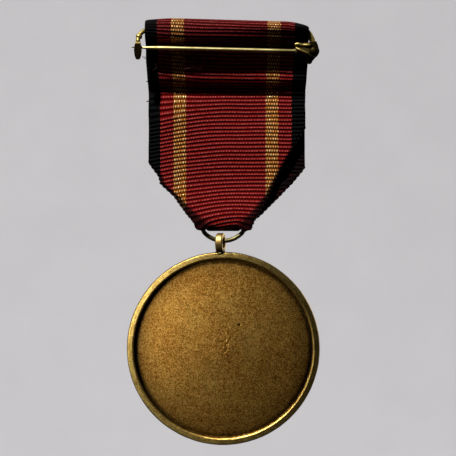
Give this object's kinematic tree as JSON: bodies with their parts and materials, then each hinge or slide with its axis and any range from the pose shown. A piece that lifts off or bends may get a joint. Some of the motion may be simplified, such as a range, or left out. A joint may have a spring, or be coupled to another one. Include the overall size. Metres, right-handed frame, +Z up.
{
  "type": "medal",
  "caption": "Round bronze medal on a folded striped ribbon, with a flattened suspension ring and a brooch pin with catch and hinge across its back.",
  "frame": {"origin": "on the axis of the closed brooch pin, in the middle of the ribbon's width", "axes": "+Z up as the medal hangs, -Y out of the plain back that carries the brooch pin, +X towards the pin's hinge"},
  "size_m": [0.037, 0.0096, 0.0808],
  "materials": {
    "disc_bronze": "satin, grainy, brown patina in the corners, rim worn bright",
    "ring_brass": "drawn wire, lightly tarnished",
    "brooch_brass": "pressed sheet, tarnished",
    "pin_brass": "bright drawn wire",
    "ribbon_cloth": "ribbed woven silk, red with gold and black stripes",
    "sewing_thread": "twisted thread"
  },
  "bodies": {
    "brooch_and_ribbon": {"ribbon": "ribbon_cloth", "ribbon_stitching": "sewing_thread", "brooch_bar": "brooch_brass", "pin_catch": "brooch_brass", "hinge_bracket": "brooch_brass", "hinge_rivet": "brooch_brass"},
    "pin": {"pin_wire": "pin_brass"},
    "ring": {"suspension_ring": "ring_brass"},
    "medal": {"medal_disc": "disc_bronze", "suspension_eye": "ring_brass"}
  },
  "joints": [
    {"name": "pin_opens", "type": "hinge", "parent": "brooch_and_ribbon", "child": "pin", "pos_m": [0.0162, 0, -0.0009], "axis": [0, -1, 0], "range_deg": [0, 70]},
    {"name": "ring_swings", "type": "hinge", "parent": "brooch_and_ribbon", "child": "ring", "pos_m": [-0.0007, 0.0061, -0.03293], "axis": [1, 0, 0], "range_deg": [-35, 35]},
    {"name": "disc_swings", "type": "hinge", "parent": "ring", "child": "medal", "pos_m": [-0.0007, 0.0061, -0.0366], "axis": [1, 0, 0], "range_deg": [-75, 75]}
  ]
}
